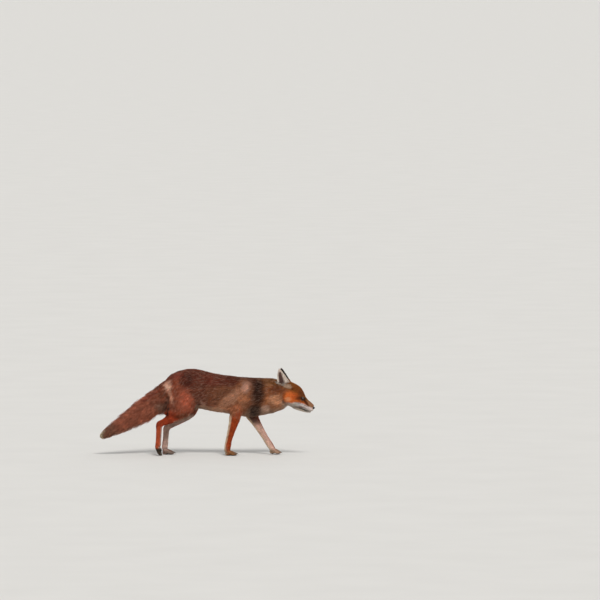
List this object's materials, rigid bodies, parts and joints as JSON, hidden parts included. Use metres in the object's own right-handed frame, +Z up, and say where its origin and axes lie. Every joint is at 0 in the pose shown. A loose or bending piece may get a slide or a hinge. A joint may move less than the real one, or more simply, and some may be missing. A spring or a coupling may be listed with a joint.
{
  "type": "red fox",
  "caption": "Still, life-size red fox in summer coat, walking with its head low, one foreleg reaching forward and its brush trailing.",
  "frame": {"origin": "on the floor, under the middle of the fox's bounding box", "axes": "+X from the brush to the nose, +Y to the fox's left, +Z up"},
  "size_m": [1.0024, 0.1456, 0.4006],
  "materials": {
    "body_coat": "short red-brown summer coat with pale grizzling",
    "neck_coat": "short fawn-brown coat",
    "face_coat": "very short orange coat",
    "pale_coat": "short white to fawn coat",
    "brush_coat": "longer reddish coat with a small pale tip",
    "leg_coat": "very short orange-red coat, dark at the toes",
    "ear_coat": "thin, near-black outside and cream inside",
    "eye": "glossy, amber iris with a dark slit",
    "nose_leather": "moist black skin"
  },
  "bodies": {
    "root": {"trunk": "body_coat", "neck": "neck_coat", "head": "face_coat", "lower_jaw": "pale_coat", "nose": "nose_leather", "eye_left": "eye", "eye_right": "eye", "ear_left": "ear_coat", "ear_right": "ear_coat", "brush": "brush_coat", "shoulder_left": "body_coat", "forearm_left": "leg_coat", "forepaw_left": "leg_coat", "thigh_left": "body_coat", "shank_left": "leg_coat", "hindpaw_left": "leg_coat", "shoulder_right": "body_coat", "forearm_right": "leg_coat", "forepaw_right": "leg_coat", "thigh_right": "body_coat", "shank_right": "leg_coat", "hindpaw_right": "leg_coat"}
  },
  "joints": []
}
